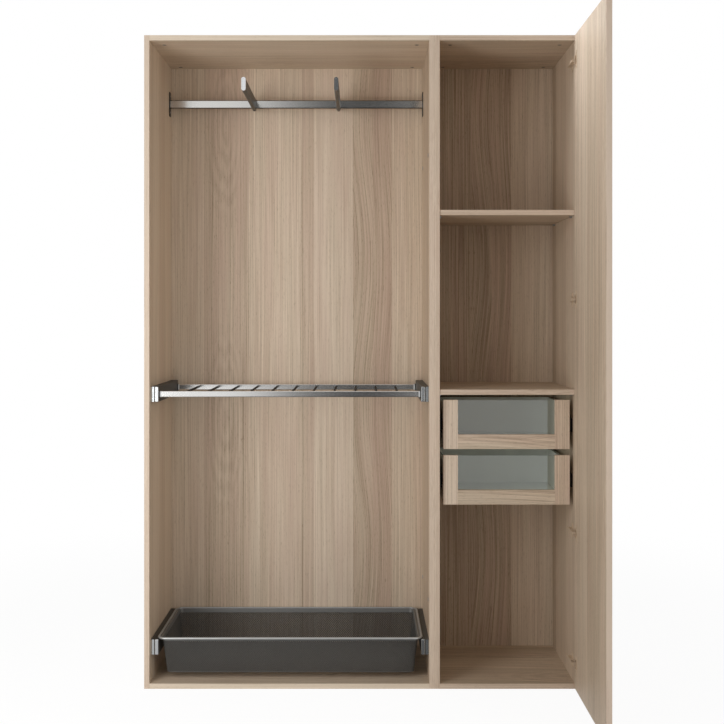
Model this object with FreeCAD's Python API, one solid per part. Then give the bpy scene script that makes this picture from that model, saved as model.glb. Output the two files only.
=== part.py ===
import FreeCAD, Part
import os
from collections import namedtuple
from math import pi, sqrt

# A wardrobe of two frames side by side: an open bay with a hanging rail, a trouser rack and a mesh
# basket, and a narrower bay with shelves, two drawers and one door, which rests open at a right angle.
# Millimetres. X runs to the right, Y to the back and Z up, from the floor below the carcass's middle.

Vector = FreeCAD.Vector
quarter_turn = pi / 2
quarter_degrees = 90
SlideSizes = namedtuple(
    "SlideSizes",
    "fixed_depth height web tongue_height gap moving_depth moving_height length travel",
)

# Carcass panels
carcass_height = 2250.0
carcass_depth = 460.0
left_width = 1000.0
right_width = 500.0
panel = 18.0
edge_round = 0.8
back_sheet = 4.0
back_inset = 12.0
back_bite = 6.5
back_clearance = 0.1
overrun = 5.0

# Bores: radial play of a plug in its bore, and spare depth at a blind end
bore_play = 0.05
bore_end = 0.5

# Corner fittings
cam_radius = 7.5
cam_height = 13.0
cam_sink = 0.5
cam_setback = 40.0
cam_front_inset = 68.0
cam_rear_inset = 42.0
cam_slot_width = 1.6
cam_slot_length = 9.0
cam_slot_depth = 1.5
bolt_thread_radius = 4.0
bolt_thread_depth = 11.0
bolt_shank_radius = 3.0
bolt_past_cam = 3.0
bolt_bore_play = 0.5
dowel_radius = 4.0
dowel_in_upright = 11.0
dowel_in_panel = 24.0
dowel_spacing = 32.0

# Connectors through the two middle uprights
connector_radius = 4.0
connector_screw_radius = 2.5
connector_head_radius = 7.0
connector_head = 2.0
connector_height_shares = (0.13, 0.82)
connector_inset = 60.0

# Clips behind the back sheets
clip_length = 20.0
clip_reach = 10.0
clip_pin_radius = 2.0
clip_pin_length = 10.0
clip_height_shares = (0.1, 0.36, 0.64, 0.9)

# Shelves
lower_shelf_height = 1012.0
upper_shelf_height = 1631.0
shelf_recess = 3.0
shelf_end_gap = 0.5
shelf_back_gap = 2.0
pin_radius = 2.5
pin_bore_depth = 9.0
pin_lug_length = 8.0
pin_lug_width = 7.0
pin_lug_height = 6.0
pin_inset = 48.0

# Hanging rail
rail_height = 30.0
rail_depth = 12.0
rail_wall = 1.5
rail_round = 2.5
rail_back_inset = 38.0
rail_drop = 144.0
plate_thickness = 3.0
plate_height = 92.0
plate_depth = 34.0
plate_spigot = 8.0
spigot_play = 0.2

# Hanging pegs
peg_width = 15.0
peg_height = 47.0
peg_wall = 2.0
peg_front_inset = 25.0
peg_past_rail = 8.0
peg_cap_plug = 10.0
peg_cap_face = 2.5
peg_cap_border = 4.0
peg_cap_recess = 1.0
peg_slider_length = 40.0
peg_rail_play = 0.1
peg_place_shares = (1 / 3, 2 / 3)

# Screws: shank, head and grip in the wood
screw_radius = 2.0
screw_grip = 12.0
screw_head_radius = 3.8
screw_head = 1.8

# Slides of the trouser rack and the basket
pull_out_front_inset = 25.0
pull_out_rear_gap = 9.0
pull_out_fixed_depth = 13.0
pull_out_height = 52.0
pull_out_web = 3.0
pull_out_tongue_height = 30.0
pull_out_gap = 0.9
pull_out_moving_depth = 12.8
pull_out_travel = 300.0

# Slides of the drawers
drawer_slide_inset = 40.0
drawer_fixed_depth = 9.0
drawer_fixed_height = 45.0
drawer_web = 3.0
drawer_tongue_height = 28.0
drawer_slide_gap = 0.4
drawer_moving_depth = 3.6
drawer_travel = 280.0

# Both kinds of slide
slide_front_wall = 8.0
running_gap = 0.3
slide_stop_gap = 1.0
runner_screw_shares = (0.12, 0.5, 0.88)

# Trouser rack
trouser_centre_height = 1012.0
trouser_bar_height = 21.0
trouser_bar_depth = 12.0
trouser_bar_wall = 1.5
trouser_bar_round = 3.0
trouser_front_inset = 15.0
trouser_rear_inset = 11.0
trouser_bracket = 3.3
trouser_bracket_border = 2.0
trouser_spigot = 20.0
trouser_cap = 5.5
trouser_rod_radius = 4.0
trouser_rod_bite = 1.2
trouser_rod_count = 11

# Basket
basket_floor_gap = 23.0
basket_front_inset = 30.0
basket_rear_gap = 16.0
basket_side_gap = 0.3
basket_depth = 124.0
basket_taper = 14.0
basket_sheet = 1.2
basket_corner = 17.0
rim_radius = 4.5
rim_above_slide = 2.5
rim_seat_gap = 0.05
basket_clip_width = 24.0
basket_clip_height = 12.0
basket_clip_reach = 7.5
basket_clip_shares = (0.2, 0.8)

# Drawers
drawer_shelf_gap = 19.0
drawer_gap = 22.0
drawer_front_inset = 20.0
drawer_front_height = 170.0
drawer_front_thickness = 18.0
stile_width = 51.0
drawer_rail_height = 50.0
glass_thickness = 4.0
glass_bite = 6.0
glass_play = 0.2
glass_top_gap = 1.0
drawer_side = 11.0
drawer_side_lift = 4.0
drawer_side_drop = 20.0
drawer_back_gap = 14.0
drawer_floor_level = 17.0
drawer_floor = 5.0
drawer_floor_bite = 5.0
drawer_floor_play = 0.1
drawer_slide_lift = 80.0

# Door and its hinges
door_thickness = 18.0
door_seam_gap = 2.0
door_gap = 4.5
door_edge_reveal = 1.0
door_floor_gap = 4.0
door_top_gap = 2.0
door_open_angle = 90.0
hinge_end_inset = 92.0
hinge_below_drawers = 91.0
hinge_above_shelf = 310.0
hinge_pin_inset = 9.0
hinge_pin_radius = 1.2
hinge_pin_play = 0.05
cup_radius = 17.5
cup_inset = 22.5
cup_depth = 13.0
cup_wall = 0.9
cup_floor = 0.8
cup_bore_play = 0.1
flange_thickness = 1.2
flange_border = 2.0
ear_offset = 9.5
ear_width = 14.0
ear_end = 7.5
ear_screw_spacing = 45.0
cup_screw_grip = 11.0
arm_thickness = 2.5
arm_width = 10.0
arm_drop = 0.3
arm_wall_gap = 11.5
arm_eye_radius = 2.2
arm_eye_width = 8.0
arm_cover_start = 15.0
arm_cover_end = 62.0
arm_cover_width = 15.0
plate_screw_row = 37.0
plate_screw_spacing = 32.0
wing_thickness = 2.5
wing_width = 18.0
wing_end = 8.0
boss_width = 12.0

# Places worked out from the sizes
front_y = -carcass_depth / 2
rear_y = carcass_depth / 2
left_x = -(left_width + right_width) / 2
seam_x = left_x + left_width
right_x = seam_x + right_width
left_bay = (left_x + panel, seam_x - panel)
right_bay = (seam_x + panel, right_x - panel)
under_top = carcass_height - panel
sheet_y = (rear_y - back_inset - back_sheet, rear_y - back_inset)
cam_rows = (front_y + cam_front_inset, rear_y - cam_rear_inset)
dowel_rows = (cam_rows[0] + dowel_spacing, cam_rows[1] - dowel_spacing)
bay_walls = (
    ("left_side_panel", left_bay[0], 1),
    ("left_divider_panel", left_bay[1], -1),
    ("right_divider_panel", right_bay[0], 1),
    ("right_side_panel", right_bay[1], -1),
)
rail_y = sheet_y[0] - rail_back_inset
rail_centre_height = under_top - rail_drop
pull_out_y = (front_y + pull_out_front_inset, sheet_y[0] - pull_out_rear_gap)
drawer_back_y = sheet_y[0] - drawer_back_gap
drawer_slide_y = (front_y + drawer_slide_inset, drawer_back_y)
upper_drawer_base = lower_shelf_height - drawer_shelf_gap - drawer_front_height
lower_drawer_base = upper_drawer_base - drawer_gap - drawer_front_height
basket_rim_height = panel + basket_floor_gap + basket_depth
basket_slide_height = basket_rim_height - rim_above_slide - pull_out_height / 2
basket_y = (front_y + basket_front_inset, sheet_y[0] - basket_rear_gap)
pull_out = SlideSizes(
    fixed_depth=pull_out_fixed_depth,
    height=pull_out_height,
    web=pull_out_web,
    tongue_height=pull_out_tongue_height,
    gap=pull_out_gap,
    moving_depth=pull_out_moving_depth,
    moving_height=pull_out_height,
    length=pull_out_y[1] - pull_out_y[0],
    travel=pull_out_travel,
)
drawer_slide = SlideSizes(
    fixed_depth=drawer_fixed_depth,
    height=drawer_fixed_height,
    web=drawer_web,
    tongue_height=drawer_tongue_height,
    gap=drawer_slide_gap,
    moving_depth=drawer_moving_depth,
    moving_height=drawer_tongue_height,
    length=drawer_slide_y[1] - drawer_slide_y[0],
    travel=drawer_travel,
)
pull_out_reach = pull_out.fixed_depth + pull_out.gap + pull_out.moving_depth
drawer_reach = drawer_slide.fixed_depth + drawer_slide.gap + drawer_slide.moving_depth
rack_x = (left_bay[0] + pull_out_reach, left_bay[1] - pull_out_reach)
drawer_x = (right_bay[0] + drawer_reach, right_bay[1] - drawer_reach)
door_x = (seam_x + door_seam_gap, right_x - door_edge_reveal)
door_y = (front_y - door_gap - door_thickness, front_y - door_gap)
hinge_x = door_x[1] - hinge_pin_inset
hinge_y = (door_y[0] + door_y[1]) / 2
hinge_heights = (
    hinge_end_inset,
    lower_drawer_base - hinge_below_drawers,
    lower_shelf_height + panel + hinge_above_shelf,
    carcass_height - hinge_end_inset,
)

# Bores and grooves that the fittings ask for in each panel
bores = {}


def drill(panel_name, *cutters):
    bores.setdefault(panel_name, []).extend(cutters)


def drilled(panel_name, shape):
    return shape.cut(bores[panel_name]) if panel_name in bores else shape


def around(centre, size):
    return (centre - size / 2, centre + size / 2)


def block(x, y, z):
    corner = Vector(min(x), min(y), min(z))
    return Part.makeBox(abs(x[1] - x[0]), abs(y[1] - y[0]), abs(z[1] - z[0]), corner)


def pin_x(x, y, z, radius):
    return Part.makeCylinder(radius, abs(x[1] - x[0]), Vector(min(x), y, z), Vector(1, 0, 0))


def pin_y(x, y, z, radius):
    return Part.makeCylinder(radius, abs(y[1] - y[0]), Vector(x, min(y), z), Vector(0, 1, 0))


def pin_z(x, y, z, radius):
    return Part.makeCylinder(radius, abs(z[1] - z[0]), Vector(x, y, min(z)), Vector(0, 0, 1))


def joined(first, *others):
    return first.fuse(others).removeSplitter()


def rounded(shape, radius, keep):
    # Rounds the straight edges that keep picks by their middle point and direction.
    picked = []
    for edge in shape.Edges:
        ends = [vertex.Point for vertex in edge.Vertexes]
        middle = (ends[0] + ends[-1]) / 2
        if keep(middle, (ends[-1] - ends[0]).normalize()):
            picked.append(edge)
    return shape.makeFillet(radius, picked)


def save(node, *solids):
    shape = solids[0] if len(solids) == 1 else Part.makeCompound(solids)
    shape.exportStep("parts/" + node + ".step")


def wood_screw(wall_x, side, seat, y, z, wall_name):
    # A screw into an upright from a seat that stands off the wall, with its pilot bore.
    seat_x = wall_x + side * seat
    tip_x = wall_x - side * screw_grip
    bore_x = (wall_x + side * overrun, tip_x - side * bore_end)
    drill(wall_name, pin_x(bore_x, y, z, screw_radius + bore_play))
    head = pin_x((seat_x, seat_x + side * screw_head), y, z, screw_head_radius)
    return joined(head, pin_x((tip_x, seat_x), y, z, screw_radius))


# Corner fittings: cam, bolt and dowels at each end of a top or bottom panel
def corner_fittings(panel_name, wall, under_z):
    wall_name, wall_x, side = wall
    axis_z = under_z + panel / 2
    cam_x = wall_x + side * cam_setback
    cams = []
    bolts = []
    dowels = []
    for y in cam_rows:
        bolt_end = cam_x + side * bolt_past_cam
        thread_end = wall_x - side * bolt_thread_depth
        pocket_radius = bolt_shank_radius + bolt_bore_play
        cam = pin_z(cam_x, y, (under_z + cam_sink, under_z + cam_height), cam_radius)
        pocket = pin_x((wall_x, bolt_end + side * bolt_bore_play), y, axis_z, pocket_radius)
        slot_z = (under_z, under_z + cam_sink + cam_slot_depth)
        slots = [
            block(around(cam_x, cam_slot_length), around(y, cam_slot_width), slot_z),
            block(around(cam_x, cam_slot_width), around(y, cam_slot_length), slot_z),
        ]
        cams.append(cam.cut([pocket] + slots))
        thread = pin_x((thread_end, wall_x), y, axis_z, bolt_thread_radius)
        bolts.append(joined(thread, pin_x((wall_x, bolt_end), y, axis_z, bolt_shank_radius)))
        bore_z = (under_z - overrun, under_z + cam_height + bore_end)
        drill(panel_name, pin_z(cam_x, y, bore_z, cam_radius + bore_play))
        drill(panel_name, pin_x((wall_x - side * overrun, cam_x), y, axis_z, pocket_radius))
        bore_x = (wall_x + side * overrun, thread_end - side * bore_end)
        drill(wall_name, pin_x(bore_x, y, axis_z, bolt_thread_radius + bore_play))
    for y in dowel_rows:
        ends = (wall_x - side * dowel_in_upright, wall_x + side * dowel_in_panel)
        bore_x = (ends[0] - side * bore_end, ends[1] + side * bore_end)
        dowels.append(pin_x(ends, y, axis_z, dowel_radius))
        for name in (panel_name, wall_name):
            drill(name, pin_x(bore_x, y, axis_z, dowel_radius + bore_play))
    return cams, bolts, dowels


def make_corner_fittings():
    cams = []
    bolts = []
    dowels = []
    for bay, walls in (("left", bay_walls[:2]), ("right", bay_walls[2:])):
        for level, under_z in (("top", under_top), ("bottom", 0)):
            for wall in walls:
                fitted = corner_fittings(bay + "_" + level + "_panel", wall, under_z)
                cams.extend(fitted[0])
                bolts.extend(fitted[1])
                dowels.extend(fitted[2])
    save("cam_locks", *cams)
    save("cam_bolts", *bolts)
    save("panel_dowels", *dowels)


# Connectors: a headed sleeve from one side and a screw into it from the other
def make_frame_connectors():
    pieces = []
    walls = (left_bay[1], right_bay[0])
    for share in connector_height_shares:
        z = carcass_height * share
        for y in (front_y + connector_inset, rear_y - connector_inset):
            sleeve = joined(
                pin_x((walls[0] - connector_head, walls[0]), y, z, connector_head_radius),
                pin_x((walls[0], walls[1] - bore_end), y, z, connector_radius),
            )
            hollow = pin_x((walls[0] + bore_end, walls[1]), y, z, connector_screw_radius + bore_play)
            screw = joined(
                pin_x((walls[1], walls[1] + connector_head), y, z, connector_head_radius),
                pin_x((walls[0] + bore_end + bore_end, walls[1]), y, z, connector_screw_radius),
            )
            pieces.extend((sleeve.cut(hollow), screw))
            through = pin_x((walls[0] - overrun, walls[1] + overrun), y, z, connector_radius + bore_play)
            drill("left_divider_panel", through)
            drill("right_divider_panel", through)
    save("frame_connectors", *pieces)


# Back sheets in their grooves, with clips behind them
def make_backs():
    reach = back_bite + bore_end
    groove_y = (sheet_y[0] - back_clearance, sheet_y[1] + back_clearance)
    for bay, span in (("left", left_bay), ("right", right_bay)):
        sheet_x = (span[0] - back_bite, span[1] + back_bite)
        sheet_z = (panel - back_bite, under_top + back_bite)
        groove = block((span[0] - reach, span[1] + reach), groove_y, (panel - reach, under_top + reach))
        for name in (bay + "_top_panel", bay + "_bottom_panel"):
            drill(name, groove)
        for name, wall_x, side in bay_walls:
            if wall_x in span:
                drill(name, groove)
        save(bay + "_back_panel", block(sheet_x, sheet_y, sheet_z))
    clips = []
    for name, wall_x, side in bay_walls:
        for share in clip_height_shares:
            z = carcass_height * share
            y = (sheet_y[1], rear_y)
            body = block((wall_x, wall_x + side * clip_reach), y, around(z, clip_length))
            pin_at = (groove_y[1] + rear_y) / 2
            tip_x = wall_x - side * clip_pin_length
            clips.append(joined(body, pin_x((tip_x, wall_x), pin_at, z, clip_pin_radius)))
            bore_x = (wall_x + side * overrun, tip_x - side * bore_end)
            drill(name, pin_x(bore_x, pin_at, z, clip_pin_radius + bore_play))
    save("back_panel_clips", *clips)


# Shelves on pins
def make_shelves():
    pins = []
    shelf_x = (right_bay[0] + shelf_end_gap, right_bay[1] - shelf_end_gap)
    shelf_y = (front_y + shelf_recess, sheet_y[0] - shelf_back_gap)
    for node, z in (("lower_shelf", lower_shelf_height), ("upper_shelf", upper_shelf_height)):
        shelf = block(shelf_x, shelf_y, (z, z + panel))
        save(node, rounded(shelf, edge_round, lambda at, way: at.y < shelf_y[0] + overrun and abs(way.x) > 0))
        for name, wall_x, side in bay_walls[2:]:
            for y in (shelf_y[0] + pin_inset, shelf_y[1] - pin_inset):
                lug_x = (wall_x, wall_x + side * pin_lug_length)
                lug = block(lug_x, around(y, pin_lug_width), (z - pin_lug_height, z))
                axis_z = z - pin_lug_height / 2
                tip_x = wall_x - side * pin_bore_depth
                pins.append(joined(lug, pin_x((tip_x, wall_x), y, axis_z, pin_radius)))
                bore_x = (wall_x + side * overrun, tip_x - side * bore_end)
                drill(name, pin_x(bore_x, y, axis_z, pin_radius + bore_play))
    save("shelf_pins", *pins)


# Hanging rail between two screwed end plates
def make_rail():
    rail_x = (left_bay[0] + plate_thickness, left_bay[1] - plate_thickness)
    rail_span = (around(rail_y, rail_depth), around(rail_centre_height, rail_height))
    hollow_depth = rail_depth - 2 * rail_wall
    hollow_height = rail_height - 2 * rail_wall
    hollow_x = (rail_x[0] - overrun, rail_x[1] + overrun)
    hollow = block(hollow_x, around(rail_y, hollow_depth), around(rail_centre_height, hollow_height))
    bar = rounded(block(rail_x, *rail_span), rail_round, lambda at, way: abs(way.x) > 0)
    save("hanging_rail", bar.cut(hollow))
    plates = []
    screws = []
    for name, wall_x, side in bay_walls[:2]:
        seat_x = wall_x + side * plate_thickness
        body = block((wall_x, seat_x), around(rail_y, plate_depth), around(rail_centre_height, plate_height))
        body = rounded(body, plate_depth / 4, lambda at, way: abs(way.x) > 0)
        spigot = block(
            (seat_x, seat_x + side * plate_spigot),
            around(rail_y, hollow_depth - 2 * spigot_play),
            around(rail_centre_height, hollow_height - 2 * spigot_play),
        )
        plate = joined(body, spigot)
        screw_rise = (plate_height + rail_height) / 4
        for z in (rail_centre_height - screw_rise, rail_centre_height + screw_rise):
            hole_x = (wall_x - side * overrun, seat_x + side * overrun)
            plate = plate.cut(pin_x(hole_x, rail_y, z, screw_radius + bore_play))
            screws.append(wood_screw(wall_x, side, plate_thickness, rail_y, z, name))
        plates.append(plate)
    save("rail_end_plates", *plates)
    save("rail_screws", *screws)


# Hanging pegs: flat-sided tubes that reach forward from a slider on the rail
def peg_section(x, width, height, y):
    rise = (height - width) / 2
    radius = width / 2
    z = rail_centre_height
    core = block(around(x, width), y, (z - rise, z + rise))
    return joined(core, pin_y(x, y, z - rise, radius), pin_y(x, y, z + rise, radius))


def make_pegs():
    inner_width = peg_width - 2 * peg_wall
    inner_height = peg_height - 2 * peg_wall
    plug_width = inner_width - 2 * bore_play
    plug_height = inner_height - 2 * bore_play
    recess_width = peg_width - 2 * peg_cap_border
    recess_height = peg_height - 2 * peg_cap_border
    face_y = front_y + peg_front_inset
    tube_y = (face_y + peg_cap_face, rail_y + rail_depth / 2 + peg_past_rail)
    for name, share in zip(("left", "right"), peg_place_shares):
        x = left_bay[0] + (left_bay[1] - left_bay[0]) * share
        slot_x = around(x, peg_width + overrun)
        slot_y = around(rail_y, rail_depth + 2 * peg_rail_play)
        slot_z = around(rail_centre_height, rail_height + 2 * peg_rail_play)
        slot = block(slot_x, slot_y, slot_z)
        hollow = peg_section(x, inner_width, inner_height, (tube_y[0] - overrun, tube_y[1] + overrun))
        tube = peg_section(x, peg_width, peg_height, tube_y).cut([hollow, slot])
        slider = peg_section(x, plug_width, plug_height, (tube_y[1] - peg_slider_length, tube_y[1]))
        plug = peg_section(x, plug_width, plug_height, (tube_y[0], tube_y[0] + peg_cap_plug))
        face = peg_section(x, peg_width, peg_height, (face_y, tube_y[0]))
        recess = peg_section(x, recess_width, recess_height, (face_y - overrun, face_y + peg_cap_recess))
        save(name + "_hanging_peg", tube)
        save(name + "_peg_fittings", joined(face.cut(recess), plug), slider.cut(slot))


# A slide on one wall: a fixed runner with a blind groove and a moving member with a tongue in it
def slide_pair(wall, y_start, z, size):
    wall_name, wall_x, side = wall
    moving_start = size.fixed_depth + size.gap
    y_end = y_start + size.length
    groove_start = y_start + slide_front_wall
    tongue_start = groove_start + size.travel + slide_stop_gap

    def out(near, far):
        return (wall_x + side * near, wall_x + side * far)

    fixed = block(out(0, size.fixed_depth), (y_start, y_end), around(z, size.height))
    groove = block(
        out(size.web, size.fixed_depth + overrun),
        (groove_start, y_end + overrun),
        around(z, size.tongue_height + 2 * running_gap),
    )
    fixed = fixed.cut(groove)
    member = block(
        out(moving_start, moving_start + size.moving_depth),
        (y_start, y_end),
        around(z, size.moving_height),
    )
    tongue = block(
        out(size.web + running_gap, moving_start),
        (tongue_start, y_end),
        around(z, size.tongue_height),
    )
    screws = []
    for share in runner_screw_shares:
        y = y_start + size.length * share
        seat = size.web - screw_head
        head_bore = pin_x(out(seat, size.web + overrun), y, z, screw_head_radius + bore_play)
        shank_bore = pin_x(out(-overrun, size.web), y, z, screw_radius + bore_play)
        fixed = fixed.cut([head_bore, shank_bore])
        screws.append(wood_screw(wall_x, side, seat, y, z, wall_name))
    return fixed, joined(member, tongue), screws


def make_slides(node, walls, y_start, z, size, runners, screws):
    members = []
    for wall in walls:
        fixed, member, fixings = slide_pair(wall, y_start, z, size)
        runners.append(fixed)
        members.append(member)
        screws.extend(fixings)
    save(node, *members)


def make_all_slides():
    pull_out_runners = []
    drawer_runners = []
    screws = []
    for node, z in (("trouser_slides", trouser_centre_height), ("basket_slides", basket_slide_height)):
        make_slides(node, bay_walls[:2], pull_out_y[0], z, pull_out, pull_out_runners, screws)
    for name, base in drawer_bases():
        z = base + drawer_slide_lift
        node = name + "_slides"
        make_slides(node, bay_walls[2:], drawer_slide_y[0], z, drawer_slide, drawer_runners, screws)
    save("pull_out_runners", *pull_out_runners)
    save("drawer_runners", *drawer_runners)
    save("runner_screws", *screws)


# Trouser rack: two flat bars across the slides and round rods from bar to bar
def trouser_bar_shape(x, y, inset):
    depth = trouser_bar_depth - 2 * inset
    height = trouser_bar_height - 2 * inset
    shape = block(x, around(y, depth), around(trouser_centre_height, height))
    return rounded(shape, trouser_bar_round - inset, lambda at, way: abs(way.x) > 0)


def make_trouser_rack():
    cap_x = (rack_x[0] + trouser_bracket, rack_x[1] - trouser_bracket)
    bar_x = (cap_x[0] + trouser_cap, cap_x[1] - trouser_cap)
    bar_ys = (pull_out_y[0] + trouser_front_inset, pull_out_y[1] - trouser_rear_inset)
    rod_y = (
        bar_ys[0] + trouser_bar_depth / 2 - trouser_rod_bite,
        bar_ys[1] - trouser_bar_depth / 2 + trouser_rod_bite,
    )
    pitch = (cap_x[1] - cap_x[0]) / (trouser_rod_count + 1)
    rod_xs = [cap_x[0] + pitch * (place + 1) for place in range(trouser_rod_count)]
    spigot_inset = trouser_bar_wall + bore_play
    rod_bores = [
        pin_y(x, rod_y, trouser_centre_height, trouser_rod_radius + bore_play) for x in rod_xs
    ]
    caps = []
    brackets = []
    for node, y in zip(("trouser_front_bar", "trouser_rear_bar"), bar_ys):
        hollow = trouser_bar_shape((bar_x[0] - overrun, bar_x[1] + overrun), y, trouser_bar_wall)
        save(node, trouser_bar_shape(bar_x, y, 0).cut([hollow] + rod_bores))
        for end, side in ((0, 1), (1, -1)):
            plate = block(
                (rack_x[end], cap_x[end]),
                around(y, trouser_bar_depth + 2 * trouser_bracket_border),
                around(trouser_centre_height, trouser_bar_height + 2 * trouser_bracket_border),
            )
            spigot_x = (cap_x[end], bar_x[end] + side * trouser_spigot)
            brackets.append(joined(plate, trouser_bar_shape(spigot_x, y, spigot_inset)))
            hole_x = (cap_x[end] - side * overrun, bar_x[end] + side * overrun)
            hole = trouser_bar_shape(hole_x, y, trouser_bar_wall)
            caps.append(trouser_bar_shape((cap_x[end], bar_x[end]), y, 0).cut(hole))
    save("trouser_bars", *[pin_y(x, rod_y, trouser_centre_height, trouser_rod_radius) for x in rod_xs])
    save("trouser_end_caps", *caps)
    save("trouser_brackets", *brackets)


# Basket: a tapered sheet tub hung from a round wire rim, which sits in clips on the slides
def rounded_rectangle(x, y, z, radius):
    straights = []
    corners = []
    for cx, cy, turn in ((0, 0, 2), (1, 0, 3), (1, 1, 0), (0, 1, 1)):
        inward_x = radius if cx == 0 else -radius
        inward_y = radius if cy == 0 else -radius
        centre = Vector(x[cx] + inward_x, y[cy] + inward_y, z)
        circle = Part.Circle(centre, Vector(0, 0, 1), radius)
        arc = Part.ArcOfCircle(circle, quarter_turn * turn, quarter_turn * (turn + 1))
        corners.append(arc.toShape())
    for place, corner in enumerate(corners):
        following = corners[(place + 1) % len(corners)]
        straights.append(Part.makeLine(corner.Vertexes[-1].Point, following.Vertexes[0].Point))
    edges = [edge for pair in zip(corners, straights) for edge in pair]
    return Part.Wire(edges)


def make_basket():
    rim_z = basket_rim_height
    floor_z = rim_z - basket_depth
    rim_inset = basket_side_gap + rim_radius
    rim_x = (rack_x[0] + rim_inset, rack_x[1] - rim_inset)
    rim_y = (basket_y[0] + rim_radius, basket_y[1] - rim_radius)

    def tub_section(z, inset):
        shrink = rim_radius + rim_seat_gap + inset + basket_taper * (rim_z - z) / basket_depth
        x = (rim_x[0] + shrink, rim_x[1] - shrink)
        y = (rim_y[0] + shrink, rim_y[1] - shrink)
        return rounded_rectangle(x, y, z, basket_corner - inset)

    def tub_solid(low, high, inset):
        return Part.makeLoft([tub_section(low, inset), tub_section(high, inset)], True, True)

    outside = tub_solid(floor_z, rim_z, 0)
    inside = tub_solid(floor_z + basket_sheet, rim_z + overrun, basket_sheet)
    save("basket_tub", outside.cut(inside))
    path = rounded_rectangle(rim_x, rim_y, rim_z, basket_corner + rim_radius)

    def rim_wire(radius):
        pieces = []
        for edge in path.Edges:
            first = edge.valueAt(edge.FirstParameter)
            circle = Part.makeCircle(radius, first, edge.tangentAt(edge.FirstParameter))
            section = Part.Face(Part.Wire(circle))
            if isinstance(edge.Curve, Part.Line):
                pieces.append(section.extrude(edge.valueAt(edge.LastParameter) - first))
            else:
                pieces.append(section.revolve(edge.Curve.Center, Vector(0, 0, 1), quarter_degrees))
        return pieces

    rim = rim_wire(rim_radius)
    save("basket_rim", joined(*rim))
    seat = rim_wire(rim_radius + rim_seat_gap)
    clips = []
    for end, side in ((0, 1), (1, -1)):
        for share in basket_clip_shares:
            y = basket_y[0] + (basket_y[1] - basket_y[0]) * share
            clip = block(
                (rack_x[end], rack_x[end] + side * basket_clip_reach),
                around(y, basket_clip_width),
                (rim_z - basket_clip_height, rim_z),
            )
            clips.append(clip.cut(seat))
    save("basket_clips", *clips)


# Drawers: a front frame with a glass pane, and a thin-walled box behind it
def drawer_bases():
    return (
        ("lower_drawer", lower_drawer_base),
        ("upper_drawer", upper_drawer_base),
    )


def make_drawer(name, base):
    face_y = (front_y + drawer_front_inset, front_y + drawer_front_inset + drawer_front_thickness)
    box_y = (face_y[1], drawer_back_y)
    box_z = (base + drawer_side_lift, base + drawer_front_height - drawer_side_drop)
    top = base + drawer_front_height
    opening_x = (drawer_x[0] + stile_width, drawer_x[1] - stile_width)
    inner_x = (drawer_x[0] + drawer_side, drawer_x[1] - drawer_side)
    glass_y = sum(face_y) / 2
    rail_top = base + drawer_rail_height
    groove = block(
        (opening_x[0] - glass_bite - glass_play, opening_x[1] + glass_bite + glass_play),
        around(glass_y, glass_thickness + 2 * glass_play),
        (rail_top - glass_bite, top + overrun),
    )
    glass = block(
        (opening_x[0] - glass_bite, opening_x[1] + glass_bite),
        around(glass_y, glass_thickness),
        (rail_top - glass_bite, top - glass_top_gap),
    )
    stiles = []
    for x in ((drawer_x[0], opening_x[0]), (opening_x[1], drawer_x[1])):
        stile = block(x, face_y, (base, top))
        stile = rounded(stile, edge_round, lambda at, way: at.y < face_y[0] + edge_round and abs(way.z) > 0)
        stiles.append(stile.cut(groove))
    save(name + "_stiles", *stiles)
    save(name + "_bottom_rail", block(opening_x, face_y, (base, rail_top)).cut(groove))
    save(name + "_glass", glass)
    floor_z = (base + drawer_floor_level - drawer_floor, base + drawer_floor_level)
    floor_x = (inner_x[0] - drawer_floor_bite, inner_x[1] + drawer_floor_bite)
    floor_y = (box_y[0], box_y[1] - drawer_side + drawer_floor_bite)
    floor_groove = block(
        (floor_x[0] - drawer_floor_play, floor_x[1] + drawer_floor_play),
        (floor_y[0], floor_y[1] + drawer_floor_play),
        (floor_z[0] - drawer_floor_play, floor_z[1] + drawer_floor_play),
    )
    sides = [
        block(x, box_y, box_z).cut(floor_groove)
        for x in ((drawer_x[0], inner_x[0]), (inner_x[1], drawer_x[1]))
    ]
    save(name + "_sides", *sides)
    save(name + "_back", block(inner_x, (box_y[1] - drawer_side, box_y[1]), box_z).cut(floor_groove))
    save(name + "_bottom", block(floor_x, floor_y, floor_z))


# Door, drawn closed and then swung open about its hinge pins
def opened(shape):
    turned = shape.copy()
    turned.rotate(Vector(hinge_x, hinge_y, 0), Vector(0, 0, 1), door_open_angle)
    return turned


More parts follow.
